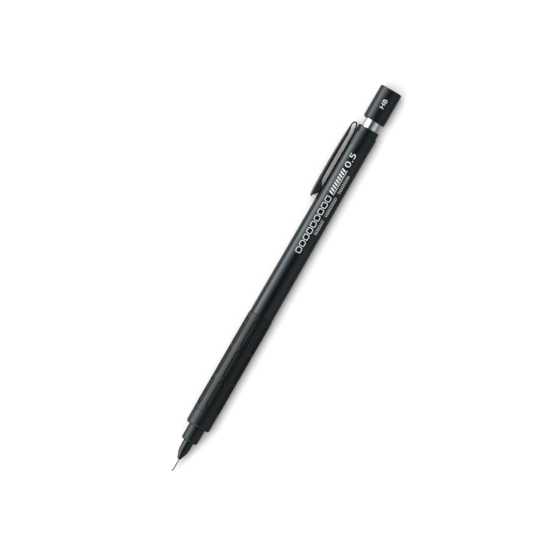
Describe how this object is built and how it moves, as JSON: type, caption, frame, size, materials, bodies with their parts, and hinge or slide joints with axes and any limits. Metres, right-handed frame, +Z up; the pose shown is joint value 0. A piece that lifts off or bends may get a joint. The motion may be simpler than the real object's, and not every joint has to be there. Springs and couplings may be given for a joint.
{
  "type": "mechanical pencil",
  "caption": "Slim drafting mechanical pencil with a steel guide pipe, windowed grip sleeve over rubber, spring clip, chromed tube and push cap over an eraser.",
  "frame": {"origin": "on the axis, at the mouth of the guide pipe", "axes": "+X along the pencil from the lead towards the push cap, +Y towards the clip, +Z up as it lies with the clip to one side"},
  "size_m": [0.1495, 0.0113, 0.0088],
  "materials": {
    "satin_black": "satin anodised and lacquered black",
    "gloss_black": "glossy black",
    "moulded_black": "fine satin moulded black",
    "grip_rubber": "soft matt black",
    "bush_rubber": "matt grey",
    "steel": "ground steel",
    "spring_steel": "drawn wire",
    "chrome": "polished chrome plate",
    "clip_steel": "satin black plated sheet steel",
    "brass": "turned brass",
    "white_plastic": "natural moulded plastic",
    "grey_plastic": "moulded grey",
    "eraser_white": "soft matt white",
    "graphite": "dark grey graphite"
  },
  "bodies": {
    "body": {"barrel": "moulded_black", "grip_core": "moulded_black", "grip_sleeve": "satin_black", "grip_rubber": "grip_rubber", "front_collar": "satin_black", "tail_collar": "moulded_black", "clip_band": "clip_steel", "return_spring": "spring_steel"},
    "clip": {"clip_arm": "clip_steel"},
    "nose": {"guide_pipe": "steel", "tip_cone": "gloss_black", "lead_retainer": "bush_rubber", "nose_neck": "satin_black"},
    "push_train": {"eraser_holder": "chrome", "lead_tube": "white_plastic", "chuck_connector": "grey_plastic", "chuck_stem": "brass"},
    "cap": {"push_cap": "moulded_black"},
    "eraser_plug": {"eraser": "eraser_white"},
    "clutch": {"clutch_ring": "brass"},
    "jaw_1": {"chuck_jaw_1": "brass"},
    "jaw_2": {"chuck_jaw_2": "brass"},
    "jaw_3": {"chuck_jaw_3": "brass"},
    "lead_in_use": {"lead": "graphite"},
    "lead_stock": {"spare_leads": "graphite"}
  },
  "joints": [
    {"name": "push", "type": "slide", "parent": "body", "child": "push_train", "axis": [-1, 0, 0], "range_m": [0, 0.0027], "stiffness_N_per_m": 1100, "springref_m": -0.0018, "deforming": ["return_spring"]},
    {"name": "clutch_advance", "type": "slide", "parent": "body", "child": "clutch", "axis": [-1, 0, 0], "range_m": [0, 0.00058]},
    {"name": "jaw_1_open", "type": "hinge", "parent": "push_train", "child": "jaw_1", "pos_m": [0.025, 0.00065, 0], "axis": [0, 0, -1], "range_deg": [0, 1.2]},
    {"name": "jaw_2_open", "type": "hinge", "parent": "push_train", "child": "jaw_2", "pos_m": [0.025, -0.00032, 0.00056], "axis": [0, 0.866, 0.5], "range_deg": [0, 1.2]},
    {"name": "jaw_3_open", "type": "hinge", "parent": "push_train", "child": "jaw_3", "pos_m": [0.025, -0.00032, -0.00056], "axis": [0, -0.866, 0.5], "range_deg": [0, 1.2]},
    {"name": "lead_feed", "type": "slide", "parent": "clutch", "child": "lead_in_use", "axis": [-1, 0, 0], "range_m": [-0.0006, 0.01]},
    {"name": "spare_lead_slide", "type": "slide", "parent": "push_train", "child": "lead_stock", "axis": [1, 0, 0], "range_m": [0, 0.03]},
    {"name": "cap_pull", "type": "slide", "parent": "push_train", "child": "cap", "axis": [1, 0, 0], "range_m": [0, 0.02]},
    {"name": "eraser_pull", "type": "slide", "parent": "push_train", "child": "eraser_plug", "axis": [1, 0, 0], "range_m": [0, 0.01]},
    {"name": "nose_unscrew", "type": "slide", "parent": "body", "child": "nose", "axis": [-1, 0, 0], "range_m": [0, 0.024]},
    {"name": "clip_flex", "type": "hinge", "parent": "body", "child": "clip", "pos_m": [0.13135, 0.00637, 0], "axis": [0, 0, -1], "range_deg": [0, 5], "stiffness_Nm_per_rad": 0.6, "springref_deg": -1.72}
  ],
  "couplings": [
    {"joint": "clutch_advance", "follows": "push", "ratio": 0.2148},
    {"joint": "jaw_1_open", "follows": "push", "rad_per_m": 7.75},
    {"joint": "jaw_2_open", "follows": "push", "rad_per_m": 7.75},
    {"joint": "jaw_3_open", "follows": "push", "rad_per_m": 7.75},
    {"joint": "eraser_pull", "follows": "cap_pull", "ratio": 0.5}
  ]
}
